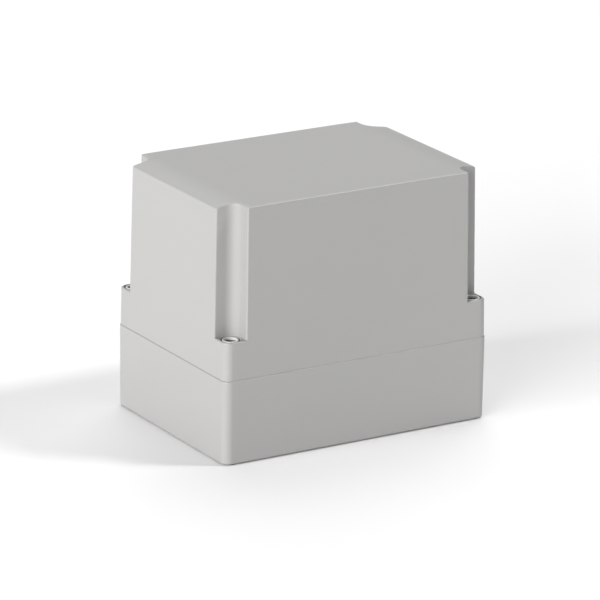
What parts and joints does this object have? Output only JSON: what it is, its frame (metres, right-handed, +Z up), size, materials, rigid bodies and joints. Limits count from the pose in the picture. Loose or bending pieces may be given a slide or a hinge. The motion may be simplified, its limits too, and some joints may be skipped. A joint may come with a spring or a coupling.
{
  "type": "plastic project box",
  "caption": "Rectangular sealed plastic enclosure: a base with a deep lift-off cover held by screws that sit at the foot of open corner channels.",
  "frame": {"origin": "centre of the footprint, on the surface that the feet stand on", "axes": "+X along the long side, +Y along the short side, +Z up from the base to the cover"},
  "size_m": [0.175, 0.125, 0.15],
  "materials": {
    "shell": "fine moulded texture",
    "seal": "matte foam",
    "screw": "blackened, turned",
    "washer": "natural nylon",
    "insert": "turned",
    "foot": "matte"
  },
  "bodies": {
    "box_base": {"base": "shell", "threaded_insert_1": "insert", "threaded_insert_2": "insert", "threaded_insert_3": "insert", "threaded_insert_4": "insert", "foot_1": "foot", "foot_2": "foot", "foot_3": "foot", "foot_4": "foot"},
    "box_cover": {"cover": "shell", "gasket": "seal"},
    "washer_1": {"cup_washer_1": "washer"},
    "screw_1": {"cover_screw_1": "screw"},
    "washer_2": {"cup_washer_2": "washer"},
    "screw_2": {"cover_screw_2": "screw"},
    "washer_3": {"cup_washer_3": "washer"},
    "screw_3": {"cover_screw_3": "screw"},
    "washer_4": {"cup_washer_4": "washer"},
    "screw_4": {"cover_screw_4": "screw"}
  },
  "joints": [
    {"name": "cover_lift", "type": "slide", "parent": "box_base", "child": "box_cover", "axis": [0, 0, 1], "range_m": [0, 0.1]},
    {"name": "screw_rise_1", "type": "slide", "parent": "box_cover", "child": "washer_1", "axis": [0, 0, 1], "range_m": [0, 0.011]},
    {"name": "screw_turn_1", "type": "hinge", "parent": "washer_1", "child": "screw_1", "pos_m": [-0.0803, -0.0553, 0.0686], "axis": [0, 0, 1], "range_deg": [0, 5660]},
    {"name": "screw_rise_2", "type": "slide", "parent": "box_cover", "child": "washer_2", "axis": [0, 0, 1], "range_m": [0, 0.011]},
    {"name": "screw_turn_2", "type": "hinge", "parent": "washer_2", "child": "screw_2", "pos_m": [0.0803, -0.0553, 0.0686], "axis": [0, 0, 1], "range_deg": [0, 5660]},
    {"name": "screw_rise_3", "type": "slide", "parent": "box_cover", "child": "washer_3", "axis": [0, 0, 1], "range_m": [0, 0.011]},
    {"name": "screw_turn_3", "type": "hinge", "parent": "washer_3", "child": "screw_3", "pos_m": [0.0803, 0.0553, 0.0686], "axis": [0, 0, 1], "range_deg": [0, 5660]},
    {"name": "screw_rise_4", "type": "slide", "parent": "box_cover", "child": "washer_4", "axis": [0, 0, 1], "range_m": [0, 0.011]},
    {"name": "screw_turn_4", "type": "hinge", "parent": "washer_4", "child": "screw_4", "pos_m": [-0.0803, 0.0553, 0.0686], "axis": [0, 0, 1], "range_deg": [0, 5660]}
  ],
  "couplings": [
    {"joint": "screw_turn_1", "follows": "screw_rise_1", "rad_per_m": 8976},
    {"joint": "screw_turn_2", "follows": "screw_rise_2", "rad_per_m": 8976},
    {"joint": "screw_turn_3", "follows": "screw_rise_3", "rad_per_m": 8976},
    {"joint": "screw_turn_4", "follows": "screw_rise_4", "rad_per_m": 8976}
  ]
}
